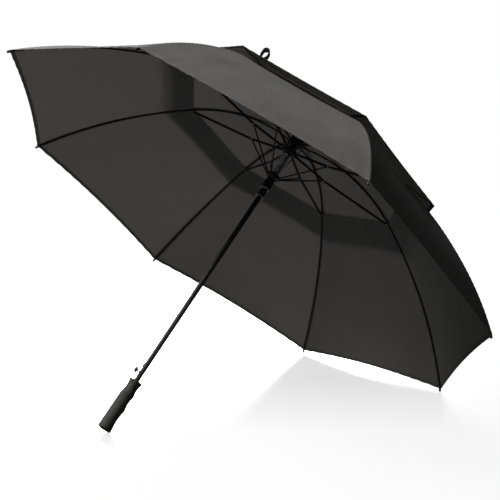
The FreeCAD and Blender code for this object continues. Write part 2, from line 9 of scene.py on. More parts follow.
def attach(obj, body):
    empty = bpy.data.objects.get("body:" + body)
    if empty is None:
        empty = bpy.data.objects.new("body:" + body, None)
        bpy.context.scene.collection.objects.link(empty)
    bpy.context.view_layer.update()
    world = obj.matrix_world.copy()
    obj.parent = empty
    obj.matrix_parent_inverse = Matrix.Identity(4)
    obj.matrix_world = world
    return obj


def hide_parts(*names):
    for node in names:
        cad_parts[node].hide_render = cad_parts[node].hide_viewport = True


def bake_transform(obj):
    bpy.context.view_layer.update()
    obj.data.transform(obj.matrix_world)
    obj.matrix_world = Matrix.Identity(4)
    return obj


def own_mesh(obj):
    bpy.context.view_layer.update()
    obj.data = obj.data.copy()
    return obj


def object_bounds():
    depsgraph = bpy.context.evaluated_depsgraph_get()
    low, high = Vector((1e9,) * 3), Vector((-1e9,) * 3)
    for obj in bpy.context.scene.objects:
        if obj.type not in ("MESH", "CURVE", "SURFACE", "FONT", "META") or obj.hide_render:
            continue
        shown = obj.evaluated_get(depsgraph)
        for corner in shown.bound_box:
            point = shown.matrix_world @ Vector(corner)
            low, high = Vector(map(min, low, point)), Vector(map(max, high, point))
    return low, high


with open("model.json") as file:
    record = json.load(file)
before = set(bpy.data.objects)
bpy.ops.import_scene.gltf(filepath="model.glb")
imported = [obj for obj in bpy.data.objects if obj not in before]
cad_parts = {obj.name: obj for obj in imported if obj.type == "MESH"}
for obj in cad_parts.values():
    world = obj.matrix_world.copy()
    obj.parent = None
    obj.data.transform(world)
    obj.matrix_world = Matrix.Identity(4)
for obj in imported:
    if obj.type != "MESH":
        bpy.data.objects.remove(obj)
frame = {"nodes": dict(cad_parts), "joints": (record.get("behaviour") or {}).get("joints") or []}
cad_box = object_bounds()
nodes = frame["nodes"]
joints = {joint["name"]: joint for joint in frame["joints"]}

# ---- the view ----
# The camera stands on the handle's side, about 2.7 m away, and looks level under the tilted canopy.
# Its lens is long, near 82 mm on a full-frame sensor, so the far ribs keep their length.
eye_place = Vector((2.020, -1.637, 0.783))
eye_ahead = Vector((-0.7595, 0.6309, -0.1586)).normalized()
eye_right = Vector((0.6388, 0.7694, 0.0017))
eye_right = (eye_right - eye_ahead * eye_right.dot(eye_ahead)).normalized()
eye_top = eye_right.cross(eye_ahead)
lens = bpy.data.cameras.new("camera")
lens.sensor_width = 36.0
lens.lens = 81.7
camera = bpy.data.objects.new("camera", lens)
turn = Matrix((eye_right, eye_top, -eye_ahead)).transposed()
camera.matrix_world = Matrix.Translation(eye_place) @ turn.to_4x4()
bpy.context.scene.collection.objects.link(camera)
bpy.context.scene.camera = camera
bpy.context.scene.view_settings.view_transform = "Standard"

# ---- how the umbrella lies ----
# Eight ribs hang in one notch at the crown. Their pivots give the notch's middle, the line of the shaft
# and each rib's own plane, and every piece below is placed by a radius, a height and a step aside in it.
rib_count = 8
half_gore = math.pi / rib_count
rib_pivots = [Vector(joints[f"rib_{rib + 1}_fold"]["pos_m"]) for rib in range(rib_count)]
notch = sum(rib_pivots, Vector()) / rib_count
crown_up = (rib_pivots[0] - notch).cross(rib_pivots[1] - notch).normalized()
outward = [(pivot - notch).normalized() for pivot in rib_pivots]
sideways = [crown_up.cross(out) for out in outward]

# ---- shaft ----
# A drawn steel tube, 12 mm across, in black gloss enamel, which takes long faint scratches from the runner
# along its length. The latch works in a slot near the grip.
def finish(name, roughness, metallic=0.0):
    """A new material: returns it, its tree and its one Principled shader."""
    material = bpy.data.materials.new(name)
    material.use_nodes = True
    shader = material.node_tree.nodes["Principled BSDF"]
    shader.inputs["Roughness"].default_value = roughness
    shader.inputs["Metallic"].default_value = metallic
    return material, material.node_tree, shader


def add(tree, kind, **settings):
    """A new node in a tree: settings that name a socket fill it, and the others are the node's own."""
    node = tree.nodes.new(kind)
    for name, value in settings.items():
        socket = node.inputs.get(name.replace("_", " "))
        if socket is not None:
            socket.default_value = value
        else:
            setattr(node, name.lower(), value)
    return node


def stretched(tree, coordinates, along, squeeze):
    """Object coordinates with one direction squeezed, so that a pattern on them is drawn out along it."""
    mapping = add(tree, "ShaderNodeMapping")
    upright = Vector((0, 0, 1)).rotation_difference(along).inverted()
    mapping.inputs["Rotation"].default_value = upright.to_euler()
    mapping.inputs["Scale"].default_value = (1.0, 1.0, squeeze)
    tree.links.new(coordinates, mapping.inputs["Vector"])
    return mapping.outputs["Vector"]


def drift(tree, shader, place, dark, light, size, dull):
    """Colour that drifts between two shades over patches of this size in metres, and roughness with it."""
    darkest, lightest = 0.35, 0.68
    noise = add(tree, "ShaderNodeTexNoise", Scale=1 / size, Detail=4.0, Roughness=0.6)
    tree.links.new(place, noise.inputs["Vector"])
    ramp = add(tree, "ShaderNodeValToRGB")
    ramp.color_ramp.elements[0].position = darkest
    ramp.color_ramp.elements[1].position = lightest
    ramp.color_ramp.elements[0].color = (*dark, 1.0)
    ramp.color_ramp.elements[1].color = (*light, 1.0)
    tree.links.new(noise.outputs["Fac"], ramp.inputs["Fac"])
    tree.links.new(ramp.outputs["Color"], shader.inputs["Base Color"])
    span = add(tree, "ShaderNodeMapRange", To_Min=dull[0], To_Max=dull[1])
    tree.links.new(noise.outputs["Fac"], span.inputs["Value"])
    tree.links.new(span.outputs["Result"], shader.inputs["Roughness"])


def relief(tree, shader, height, depth, strength):
    """A bump of this depth in metres from a height between 0 and 1."""
    bump = add(tree, "ShaderNodeBump", Strength=strength, Distance=depth)
    tree.links.new(height, bump.inputs["Height"])
    tree.links.new(bump.outputs["Normal"], shader.inputs["Normal"])


def enamel(name, dark, light, dull, along=None, squeeze=0.04):
    """Black enamel on steel: orange peel a few millimetres wide, and scratches drawn along the piece."""
    material, tree, shader = finish(name, roughness=0.3)
    shader.inputs["Specular IOR Level"].default_value = 0.12
    place = add(tree, "ShaderNodeTexCoord").outputs["Object"]
    drift(tree, shader, place, dark, light, size=0.03, dull=dull)
    fine = add(tree, "ShaderNodeTexNoise", Scale=900.0, Detail=3.0)
    tree.links.new(stretched(tree, place, along or crown_up, squeeze), fine.inputs["Vector"])
    relief(tree, shader, fine.outputs["Fac"], depth=0.0001, strength=0.35)
    return material


def dress(name, material):
    """A node of the frame takes this finish on all its faces."""
    mesh = nodes[name].data
    mesh.materials.clear()
    mesh.materials.append(material)


dress("shaft", enamel("shaft_enamel", (0.006, 0.006, 0.006), (0.014, 0.013, 0.013), dull=(0.34, 0.5)))

# ---- grip ----
# Soft foam rubber moulded on a hard core, 125 mm long. It is flared at the top, waisted under the flare,
# and has two finger grooves on the side away from the trigger. The foam has an open, matt, pitted skin.
grip_top = -0.686
grip_length = 0.125
grip_radius = 0.0162
grip_waist = 0.0134
neck_depth = 0.034
groove_split = 0.069
groove_depth = 0.0038
groove_blend = 0.0006
end_band = 0.006
end_round = 0.003
mouth_radius = 0.0062
mouth_lip = 0.002
end_dome = ((0.012, 0.0007), (0.006, 0.0013), (0.002, 0.0015))
grip_rows = 120
grip_sides = 96
trigger_turn = math.radians(217.5)


def grip_radius_at(depth, angle):
    """The foam's radius at a depth under the grip's top, on one side of it. Each groove is a flat bite."""
    side_on = 0.01
    top_taper = 0.5
    if depth < neck_depth:
        half = neck_depth / 2
        bend = 1 - ((depth - half) / half) ** 2
        radius = grip_radius - (grip_radius - grip_waist) * bend
    else:
        radius = grip_radius
    for high, low in ((neck_depth, groove_split), (groove_split, grip_length - end_band)):
        if high < depth < low:
            share = (depth - high) / (low - high)
            bite = groove_depth * (1 - (2 * share - 1) ** 2)
            facing = math.cos(angle - trigger_turn - math.pi)
            if facing > 0:
                gap = (radius - bite) / max(facing, side_on) - radius
                radius -= groove_blend * math.log1p(math.exp(-gap / groove_blend))
    from_end = grip_length - depth
    if from_end < end_round:
        radius -= end_round - math.sqrt(end_round ** 2 - (end_round - from_end) ** 2)
    if depth < end_round / 2:
        radius -= (end_round / 2 - depth) * top_taper
    return radius


def laid(rib, height):
    """The turn and place that stand a shape drawn along Z on the shaft's line, its X along a rib."""
    turned = Matrix((outward[rib], sideways[rib], crown_up)).transposed().to_4x4()
    return Matrix.Translation(notch + crown_up * height) @ turned


def lathe(name, rings, sides, place):
    """A turned piece with closed ends. Each ring is (radius or a function of the angle, height)."""
    points, faces = [], []
    for radius, height in rings:
        for side in range(sides):
            angle = 2 * math.pi * side / sides
            reach = radius(angle) if callable(radius) else radius
            points.append((reach * math.cos(angle), reach * math.sin(angle), height))
    for ring in range(len(rings) - 1):
        for side in range(sides):
            step = (side + 1) % sides
            low, high = ring * sides, (ring + 1) * sides
            faces.append((low + side, low + step, high + step, high + side))
    faces.append(tuple(range(sides))[::-1])
    faces.append(tuple(range((len(rings) - 1) * sides, len(rings) * sides)))
    mesh = bpy.data.meshes.new(name)
    mesh.from_pydata(points, [], faces)
    mesh.transform(place)
    mesh.polygons.foreach_set("use_smooth", [len(face) == 4 for face in faces])
    mesh.update()
    piece = bpy.data.objects.new(name, mesh)
    bpy.context.scene.collection.objects.link(piece)
    return piece


grip_rings = [(mouth_radius, -mouth_lip), (mouth_radius, 0.0)]
for row in range(grip_rows + 1):
    depth = grip_length * row / grip_rows
    grip_rings.append((lambda angle, depth=depth: grip_radius_at(depth, angle), -depth))
grip_rings += [(radius, -grip_length - drop) for radius, drop in end_dome]
grip_rings.reverse()
foam_grip = lathe("foam_grip", grip_rings, grip_sides, laid(0, grip_top))

foam, tree, shader = finish("grip_foam", roughness=0.75)
place = add(tree, "ShaderNodeTexCoord").outputs["Object"]
drift(tree, shader, place, (0.022, 0.022, 0.021), (0.036, 0.035, 0.034), size=0.012, dull=(0.62, 0.85))
shader.inputs["Specular IOR Level"].default_value = 0.1
pits = add(tree, "ShaderNodeTexVoronoi", Scale=1100.0, Randomness=1.0)
tree.links.new(place, pits.inputs["Vector"])
relief(tree, shader, pits.outputs["Distance"], depth=0.0003, strength=0.55)
shader.inputs["Sheen Weight"].default_value = 0.03
shader.inputs["Sheen Roughness"].default_value = 0.5
foam_grip.data.materials.append(foam)
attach(foam_grip, "umbrella")
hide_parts("handle_grip")

# The hard core shows only as a thin ring where the shaft enters the foam.
dress("handle_core", enamel("core_plastic", (0.010, 0.010, 0.010), (0.020, 0.020, 0.020), dull=(0.4, 0.6)))

# ---- trigger, latch and leaf ----
# A mushroom button of black moulded plastic on a bright steel stem, which enters the shaft above the grip.
# The wedge above it is the sprung latch that holds the closed runner.
button_height = -0.664
trigger_out = Matrix.Rotation(trigger_turn, 3, crown_up) @ outward[0]
button_stand = 0.011
button_radius = 0.0068
button_rise = 0.0082
button_lip = 0.0012
button_edge = 0.0004
button_side = 0.0021
button_flat = 0.0006
dome_steps = 9
stem_radius = 0.002
stem_start = 0.0045
stem_edge = 0.0003
stem_play = 0.0001


def facing_out(height):
    """The turn and place of a shape drawn along Z that stands out of the shaft on the trigger's side."""
    across = crown_up.cross(trigger_out)
    turned = Matrix((across, crown_up, trigger_out)).transposed().to_4x4()
    return Matrix.Translation(notch + crown_up * height) @ turned


cap_rings = [
    (stem_radius, button_stand), (button_radius - button_lip, button_stand),
    (button_radius - button_edge, button_stand + button_edge)]
for step in range(dome_steps):
    rising = math.pi / 2 * step / dome_steps
    height = button_stand + button_side + (button_rise - button_side) * math.sin(rising)
    cap_rings.append((button_radius * math.cos(rising), height))
cap_rings.append((button_flat, button_stand + button_rise))
trigger_cap = lathe("trigger_cap", cap_rings, sides=48, place=facing_out(button_height))
moulded = enamel("moulded_plastic", (0.012, 0.012, 0.012), (0.024, 0.024, 0.023), dull=(0.32, 0.5))
trigger_cap.data.materials.append(moulded)
stem_rings = [
    (stem_radius - stem_edge, stem_start), (stem_radius - stem_play, stem_start + stem_edge),
    (stem_radius - stem_play, button_stand + 2 * stem_play)]
trigger_stem = lathe("trigger_stem", stem_rings, sides=32, place=facing_out(button_height))


def plated(name, dark, light):
    """Plated steel with fine polishing lines drawn along the shaft."""
    material, tree, shader = finish(name, roughness=0.25, metallic=1.0)
    place = add(tree, "ShaderNodeTexCoord").outputs["Object"]
    drift(tree, shader, place, dark, light, size=0.008, dull=(0.16, 0.34))
    lines = add(tree, "ShaderNodeTexNoise", Scale=1800.0, Detail=2.0)
    tree.links.new(stretched(tree, place, crown_up, squeeze=0.05), lines.inputs["Vector"])
    relief(tree, shader, lines.outputs["Fac"], depth=0.00005, strength=0.3)
    return material


bright_steel = plated("bright_steel", (0.55, 0.55, 0.56), (0.80, 0.80, 0.80))
trigger_stem.data.materials.append(bright_steel)
for piece, slot in ((trigger_cap, "plastic"), (trigger_stem, "bright")):
    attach(piece, "trigger")
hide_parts("trigger_button")
dress("latch", plated("latch_steel", (0.10, 0.10, 0.10), (0.22, 0.22, 0.22)))
dress("latch_leaf", plated("leaf_steel", (0.20, 0.20, 0.21), (0.35, 0.35, 0.35)))

# ---- notch, stop ring, crown cap and ferrule ----
# The notch and the runners are moulded in black nylon, dull in their slots. The wires are steel.
# The crown cap clamps the cloth under a turned point.
nylon = enamel("black_nylon", (0.016, 0.016, 0.016), (0.030, 0.029, 0.029), dull=(0.35, 0.55))
wire_steel = plated("wire_steel", (0.30, 0.30, 0.31), (0.50, 0.50, 0.50))
for name in ("top_notch", "stop_ring", "crown_cap", "ferrule", "main_runner", "pull_collar"):
    dress(name, nylon)
for name in ("notch_wire", "runner_wire", "link_wire"):
    dress(name, wire_steel)

# ---- pull runner ----
# The sliding grip on the shaft: a thick moulded body, a narrow sleeve under it, and two bright rings
# pressed on the sleeve.
dress("pull_body", moulded)
dress("pull_sleeve", moulded)
dress("pull_rings", bright_steel)

# ---- opening spring ----
# A coil of 2 mm spring wire round the shaft between the two runners, 14 turns, in dark plated steel with
# a small glint on each turn. It is built open only; the real one shortens by 50 mm as the umbrella folds.
spring_turns = 14
spring_wire = 0.002
spring_radius = 0.0096
coil_heights = [(vertex.co - notch).dot(crown_up) for vertex in nodes["opening_spring"].data.vertices]
coil_low, coil_high = min(coil_heights), max(coil_heights)


def new_tree(name, inputs):
    """An empty Geometry Nodes tree with these named inputs, as (name, socket kind, first value)."""
    tree = bpy.data.node_groups.new(name, "GeometryNodeTree")
    tree.interface.new_socket("Geometry", in_out="INPUT", socket_type="NodeSocketGeometry")
    for label, kind, value in inputs:
        socket = tree.interface.new_socket(label, in_out="INPUT", socket_type=kind)
        if value is not None:
            socket.default_value = value
    tree.interface.new_socket("Geometry", in_out="OUTPUT", socket_type="NodeSocketGeometry")
    return tree, tree.nodes.new("NodeGroupInput"), tree.nodes.new("NodeGroupOutput")


def join(tree, *links):
    """Links between sockets, each given as (from, to)."""
    for start, end in links:
        tree.links.new(start, end)


def grown(name, start, tree, values):
    """The plain mesh that a tree grows on a starting curve or mesh, as a new piece."""
    seed = bpy.data.objects.new(name + "_seed", start)
    bpy.context.scene.collection.objects.link(seed)
    modifier = seed.modifiers.new("grow", "NODES")
    modifier.node_group = tree
    for item in tree.interface.items_tree:
        if item.in_out == "INPUT" and item.name in values:
            modifier[item.identifier] = values[item.name]
    bpy.context.view_layer.update()
    ready = seed.evaluated_get(bpy.context.evaluated_depsgraph_get())
    mesh = bpy.data.meshes.new_from_object(ready)
    bpy.data.objects.remove(seed)
    mesh.name = name
    piece = bpy.data.objects.new(name, mesh)
    bpy.context.scene.collection.objects.link(piece)
    return piece


coil_tree, given, out = new_tree("coil", [
    ("Turns", "NodeSocketFloat", 10.0), ("Radius", "NodeSocketFloat", 0.01),
    ("Rise", "NodeSocketFloat", 0.1), ("Wire", "NodeSocketFloat", 0.001),
    ("Finish", "NodeSocketMaterial", None)])
spiral = add(coil_tree, "GeometryNodeCurveSpiral", Resolution=40)
round_wire = add(coil_tree, "GeometryNodeCurvePrimitiveCircle", Resolution=12)
sweep = add(coil_tree, "GeometryNodeCurveToMesh", Fill_Caps=True)
soft = coil_tree.nodes.new("GeometryNodeSetShadeSmooth")
realise = coil_tree.nodes.new("GeometryNodeRealizeInstances")
paint = coil_tree.nodes.new("GeometryNodeSetMaterial")
join(
    coil_tree,
    (given.outputs["Turns"], spiral.inputs["Rotations"]),
    (given.outputs["Radius"], spiral.inputs["Start Radius"]),
    (given.outputs["Radius"], spiral.inputs["End Radius"]),
    (given.outputs["Rise"], spiral.inputs["Height"]),
    (given.outputs["Wire"], round_wire.inputs["Radius"]),
    (spiral.outputs["Curve"], sweep.inputs["Curve"]),
    (round_wire.outputs["Curve"], sweep.inputs["Profile Curve"]),
    (sweep.outputs["Mesh"], soft.inputs["Geometry"]),
    (soft.outputs["Geometry"], realise.inputs["Geometry"]),
    (realise.outputs["Geometry"], paint.inputs["Geometry"]),
    (given.outputs["Finish"], paint.inputs["Material"]),
    (paint.outputs["Geometry"], out.inputs["Geometry"]))
spring_steel = plated("spring_steel", (0.2, 0.2, 0.205), (0.32, 0.32, 0.32))
coil_spring = grown("coil_spring", bpy.data.meshes.new("coil_start"), coil_tree, {
    "Turns": float(spring_turns), "Radius": spring_radius, "Wire": spring_wire / 2,
    "Rise": coil_high - coil_low - spring_wire, "Finish": spring_steel})
coil_spring.data.transform(laid(0, coil_low + spring_wire / 2))
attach(coil_spring, "main_runner")
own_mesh(coil_spring)
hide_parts("opening_spring")

# ---- ribs, stretchers and links ----
# Rolled steel channels and flat links in black enamel. The pivots at the elbows and the knees are bright
# rivets, whose domed heads catch the light on both sides.
rib_fall = 0.5
for rib in range(rib_count):
    frame_enamel = enamel(
        f"frame_enamel_{rib + 1}", (0.022, 0.021, 0.021), (0.036, 0.035, 0.034), dull=(0.28, 0.45),
        along=(outward[rib] - crown_up * rib_fall).normalized(), squeeze=0.08)
    for part in ("rib", "stretcher", "link"):
        dress(f"{part}_{rib + 1}", frame_enamel)

head_tree, given, out = new_tree("rivet_heads", [
    ("Head", "NodeSocketFloat", 0.002), ("Dome", "NodeSocketFloat", 0.5),
    ("Facing", "NodeSocketVector", (0.0, 0.0, 1.0)), ("Finish", "NodeSocketMaterial", None)])
ball = add(head_tree, "GeometryNodeMeshUVSphere", Segments=16, Rings=10)
place_heads = head_tree.nodes.new("GeometryNodeInstanceOnPoints")
facing = head_tree.nodes.new("FunctionNodeAlignRotationToVector")
facing.axis = "Z"
flatten = add(head_tree, "ShaderNodeCombineXYZ", X=1.0, Y=1.0)
realise = head_tree.nodes.new("GeometryNodeRealizeInstances")
soft = head_tree.nodes.new("GeometryNodeSetShadeSmooth")
paint = head_tree.nodes.new("GeometryNodeSetMaterial")
join(
    head_tree,
    (given.outputs["Geometry"], place_heads.inputs["Points"]),
    (given.outputs["Head"], ball.inputs["Radius"]),
    (ball.outputs["Mesh"], place_heads.inputs["Instance"]),
    (given.outputs["Facing"], facing.inputs["Vector"]),
    (facing.outputs["Rotation"], place_heads.inputs["Rotation"]),
    (given.outputs["Dome"], flatten.inputs["Z"]),
    (flatten.outputs["Vector"], place_heads.inputs["Scale"]),
    (place_heads.outputs["Instances"], realise.inputs["Geometry"]),
    (realise.outputs["Geometry"], soft.inputs["Geometry"]),
    (soft.outputs["Geometry"], paint.inputs["Geometry"]),
    (given.outputs["Finish"], paint.inputs["Material"]),
    (paint.outputs["Geometry"], out.inputs["Geometry"]))
rivet_radius = 0.0019
rivet_dome = 0.42
cheek = 0.0022
for rib in range(rib_count):
    places = []
    for joint in (f"stretcher_{rib + 1}_elbow", f"link_{rib + 1}_knee"):
        for side in (-cheek, cheek):
            places.append(Vector(joints[joint]["pos_m"]) + sideways[rib] * side)
    seats = bpy.data.meshes.new("seats")
    seats.from_pydata(places, [], [])
    heads = grown(f"rivet_heads_{rib + 1}", seats, head_tree, {
        "Head": rivet_radius, "Dome": rivet_dome, "Facing": sideways[rib], "Finish": bright_steel})
    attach(heads, f"stretcher_{rib + 1}")

# ---- rib tips ----
# Moulded nylon caps pressed on the ribs' ends. The cloth's corners are sewn to them, and the umbrella
# lies on two of them.
for rib in range(rib_count):
    dress(f"rib_tip_{rib + 1}", nylon)

# ---- canopy ----
# Dense charcoal pongee in two layers. The lower one runs from the vent to the rim, and the upper one from
# the crown down over the vent, where its hem stands off. Gores are seamed along the ribs, stretched
# straight from rib to rib with hollow hems, and let a little light through where only one layer lies.
bend_outer = 0.975
bend_inner = 0.3887
rim_radius = 0.650
rib_root = Vector((0.013, 0.0016))
rib_elbow = Vector((0.3059, -0.0082))
rib_end = Vector((rim_radius, -0.2654))
lower_lift = 0.0003
rim_lift = 0.0016
rim_margin = 0.0035
upper_lift = 0.0011
crown_start = Vector((0.008, 0.026))
crown_seam = 0.040
vent_hem = 0.392
vent_slope = math.radians(17.0)
hem_bow = 0.010
vent_bow = 0.008
gore_sag = 0.009
cloth_sheet = 0.0003
cloth_off_rib = 0.00025
hem_fold = 0.008
seam_fold = 0.0035
seam_sheets = 1.4
hem_sheets = 1.6
sheets_under = 2.0
edge_strip = 0.002
line_steps = 60


def arc_through(first, last, bend):
    """A falling arc over two points: its centre and its slopes at both."""
    chord = last - first
    fall = math.atan2(-chord.y, chord.x)
    half = math.asin(chord.length / 2 / bend)
    normal_up = Vector((math.sin(fall - half), math.cos(fall - half)))
    return first - normal_up * bend, fall - half, fall + half


def on_arc(centre, bend, slope):
    """The point of an arc where it falls at this slope."""
    return centre + Vector((math.sin(slope), math.cos(slope))) * bend


outer_centre, elbow_slope, rim_slope = arc_through(rib_elbow, rib_end, bend_outer)
inner_centre = arc_through(rib_root, rib_elbow, bend_inner)[0]


def lower_line(rows):
    """Points of the lower layer along a rib, from the vent hole to the rim."""
    last = rim_slope - rim_margin / bend_outer
    points = []
    for row in range(rows + 1):
        share = row / rows
        lift = lower_lift + (rim_lift - lower_lift) * share
        points.append(on_arc(outer_centre, bend_outer + lift, elbow_slope + (last - elbow_slope) * share))
    return points


def upper_line(first_radius, last_radius, rows):
    """Points of the upper layer along a rib: straight off the crown, over the bend, straight to the hem."""
    bend = bend_inner + upper_lift
    reach = crown_start - inner_centre
    touch = math.atan2(reach.x, reach.y) + math.acos(bend / reach.length)
    touch_point = on_arc(inner_centre, bend, touch)
    leave_point = on_arc(inner_centre, bend, vent_slope)
    points = []
    for row in range(rows + 1):
        radius = first_radius + (last_radius - first_radius) * row / rows
        if radius < touch_point.x:
            share = (radius - crown_start.x) / (touch_point.x - crown_start.x)
            points.append(crown_start.lerp(touch_point, share))
        elif radius < leave_point.x:
            slope = math.asin((radius - inner_centre.x) / bend)
            points.append(on_arc(inner_centre, bend, slope))
        else:
            points.append(Vector((radius, leave_point.y - (radius - leave_point.x) * math.tan(vent_slope))))
    return points


def along_line(line, share):
    """The point at a share of the way along evenly spaced points."""
    place = min(max(share, 0.0), 1.0) * (len(line) - 1)
    first = min(int(place), len(line) - 2)
    return line[first].lerp(line[first + 1], place - first)


def columns_across(count):
    """Shares across half a gore each way, closer together beside the seam and at the very edge."""
    crowding = 1.35
    half = [(step / count) ** crowding for step in range(count)] + [1 - edge_strip, 1.0]
    return [-share for share in half[:0:-1]] + half


def creases(rib, share, along, length, radius, strength):
    """How far the cloth stands out of its stretched line: puckers at seam and hem, and long soft folds."""
    pucker_pitch, pucker_reach, pucker_height = 0.0135, 0.018, 0.00045
    fan_waves, fan_shift, fan_height = 17, 1.7, 0.0012
    pull_along, pull_aside, pull_shift, pull_height = 9, 7, 2.3, 0.0018
    rim_waves, rim_reach, rim_height = 46, 0.035, 0.0007
    edge = 1 - share * share
    width = radius * math.sin(half_gore) * abs(share)
    pucker = math.sin(along * length / pucker_pitch * 2 * math.pi + rib) * math.exp(-width / pucker_reach)
    fan = math.sin(share * fan_waves + rib * fan_shift) * along ** 3 * (1 - along) * 3
    pull = math.sin((along * pull_along + abs(share) * pull_aside) + rib * pull_shift) * along * (1 - along)
    rim = math.sin(share * rim_waves + rib) * math.exp(-(1 - along) * length / rim_reach)
    stand = pucker_height * pucker + fan_height * fan + pull_height * pull + rim_height * rim
    return edge * strength * stand


def spot(rib, radius, height, aside=0.0):
    """A point in a rib's own plane: radius from the shaft, height over the notch, and aside round it."""
    return notch + outward[rib] * radius + crown_up * height + sideways[rib] * aside


def cloth(name, rib, line, length, bow, sag, strength, rows, columns, fold_start, fold_end):
    """One layer from mid-gore to mid-gore over a rib, as a thin closed shell with folded hems.

    Each corner of the grid gets two points, and the shell is thicker where it is seamed or hemmed. The
    map gives metres across and along, and the attribute layers says how many sheets lie there.
    """
    just_past = 1.01
    depths = {step / rows for step in range(rows + 1)} | {edge_strip, 1 - edge_strip}
    if fold_start:
        depths.add(fold_start / length)
    if fold_end:
        depths.add(1 - fold_end / length)
    depths = sorted(depths)
    shares = columns_across(columns)
    grid, flat, sheets = [], [], []
    for along in depths:
        for share in shares:
            turn_share = abs(share) * half_gore
            straight = math.cos(half_gore) / math.cos(half_gore - turn_share)
            rounded = 1 - (1 - abs(share)) ** 2
            source = along_line(line, along * (1 - bow * rounded * along / length))
            radius = source.x * straight
            angle = share * half_gore
            stand = creases(rib, share, along, length, radius, strength)
            dip = sag * rounded * math.sin(math.pi * along) - stand - cloth_off_rib
            grid.append(spot(rib, radius * math.cos(angle), source.y - dip, radius * math.sin(angle)))
            aside = radius * math.sin(angle)
            flat.append((aside, along * length))
            seam = abs(aside) < seam_fold
            hem = along * length < fold_start * just_past or (1 - along) * length < fold_end * just_past
            sheets.append(1.0 + seam_sheets * seam + hem_sheets * hem)
    wide = len(shares)
    faces = []
    for row in range(len(depths) - 1):
        for column in range(wide - 1):
            corner = row * wide + column
            faces.append((corner, corner + wide, corner + wide + 1, corner + 1))
    skin = bpy.data.meshes.new(name + "_skin")
    skin.from_pydata(grid, [], faces)
    skin.update()
    half = cloth_sheet / 2
    normals = [Vector(vertex.normal) for vertex in skin.vertices]
    upper = [point + normal * half * number for point, normal, number in zip(grid, normals, sheets)]
    lower = [point - normal * half * min(number, sheets_under)
             for point, normal, number in zip(grid, normals, sheets)]
    bpy.data.meshes.remove(skin)
    count = len(grid)
    rim = list(range(wide)) + [row * wide + wide - 1 for row in range(1, len(depths))]
    rim += list(range(count - 2, count - wide - 1, -1))
    rim += [row * wide for row in range(len(depths) - 2, 0, -1)]
    edges = [(first, second, second + count, first + count) for first, second in zip(rim, rim[1:] + rim[:1])]
    shell = edges + faces + [tuple(corner + count for corner in face[::-1]) for face in faces]
    mesh = bpy.data.meshes.new(name)
    mesh.from_pydata(upper + lower, [], shell)
    uv = mesh.uv_layers.new(name="cut")
    for loop in mesh.loops:
        uv.data[loop.index].uv = flat[loop.vertex_index % count]
    layers = mesh.attributes.new("layers", "FLOAT", "POINT")
    layers.data.foreach_set("value", sheets + sheets)
    mesh.polygons.foreach_set("use_smooth", [index >= len(edges) for index in range(len(shell))])
    mesh.update()
    piece = bpy.data.objects.new(name, mesh)
    bpy.context.scene.collection.objects.link(piece)
    return piece, grid, depths, shares


def pongee(name):
    """Charcoal pongee: a plain weave 0.45 mm apart, a faint sheen, and light that passes a single sheet."""
    thread_gap = 0.00045
    band_unit = 0.31416
    material, tree, shader = finish(name, roughness=0.62)
    coordinates = add(tree, "ShaderNodeTexCoord")
    drift(tree, shader, coordinates.outputs["Object"], (0.088, 0.086, 0.085), (0.101, 0.099, 0.097),
          size=0.09, dull=(0.56, 0.7))
    threads = []
    for direction in ("X", "Y"):
        wave = add(tree, "ShaderNodeTexWave", Scale=band_unit / thread_gap, Distortion=0.6, Detail=1.0)
        wave.bands_direction = direction
        tree.links.new(coordinates.outputs["UV"], wave.inputs["Vector"])
        threads.append(wave.outputs["Fac"])
    weave = add(tree, "ShaderNodeMath", operation="MULTIPLY")
    join(tree, (threads[0], weave.inputs[0]), (threads[1], weave.inputs[1]))
    crumple = add(tree, "ShaderNodeTexNoise", Scale=22.0, Detail=3.0, Roughness=0.45)
    tree.links.new(coordinates.outputs["Object"], crumple.inputs["Vector"])
    soft_bump = add(tree, "ShaderNodeBump", Strength=0.5, Distance=0.003)
    fine_bump = add(tree, "ShaderNodeBump", Strength=0.3, Distance=0.0001)
    join(
        tree,
        (crumple.outputs["Fac"], soft_bump.inputs["Height"]), (weave.outputs[0], fine_bump.inputs["Height"]),
        (soft_bump.outputs["Normal"], fine_bump.inputs["Normal"]),
        (fine_bump.outputs["Normal"], shader.inputs["Normal"]))
    shader.inputs["Sheen Weight"].default_value = 0.02
    shader.inputs["Sheen Roughness"].default_value = 0.45
    shader.inputs["Specular IOR Level"].default_value = 0.0
    layers = add(tree, "ShaderNodeAttribute")
    layers.attribute_name = "layers"
    through = add(tree, "ShaderNodeMapRange", From_Min=1.0, From_Max=2.4, To_Min=0.113, To_Max=0.03)
    glow = add(tree, "ShaderNodeBsdfTranslucent", Color=(0.71, 0.69, 0.68, 1.0))
    blend = tree.nodes.new("ShaderNodeMixShader")
    join(
        tree,
        (layers.outputs["Fac"], through.inputs["Value"]), (through.outputs["Result"], blend.inputs["Fac"]),
        (shader.outputs["BSDF"], blend.inputs[1]), (glow.outputs["BSDF"], blend.inputs[2]),
        (blend.outputs["Shader"], tree.nodes["Material Output"].inputs["Surface"]))
    return material


pongee_cloth = pongee("pongee_cloth")

